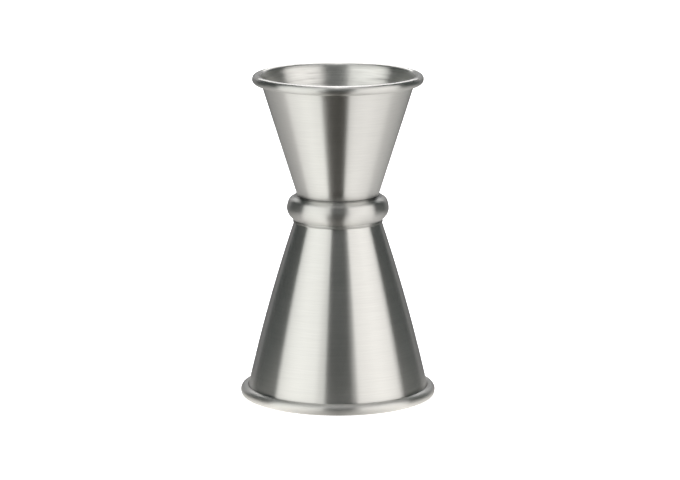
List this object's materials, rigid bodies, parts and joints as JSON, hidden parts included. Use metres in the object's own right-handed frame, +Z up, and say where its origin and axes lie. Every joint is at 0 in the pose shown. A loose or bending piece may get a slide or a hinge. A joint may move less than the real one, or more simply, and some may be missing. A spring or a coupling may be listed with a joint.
{
  "type": "bar jigger",
  "caption": "Double-ended steel bar measure: conical cups joined floor to floor, with a pressed ring around the joint and rolled rims.",
  "frame": {"origin": "centre of the large rim's resting plane", "axes": "+Z up the jigger's axis from the large cup's rim to the small cup's rim; X and Y across it"},
  "size_m": [0.052, 0.052, 0.0865],
  "materials": {
    "cup_steel": "satin stainless steel, brushed around the axis",
    "collar_steel": "satin stainless steel, brushed around the axis",
    "weld_steel": "fused steel inside the joint"
  },
  "bodies": {
    "root": {"large_cup": "cup_steel", "small_cup": "cup_steel", "collar": "collar_steel", "spot_welds": "weld_steel"}
  },
  "joints": []
}
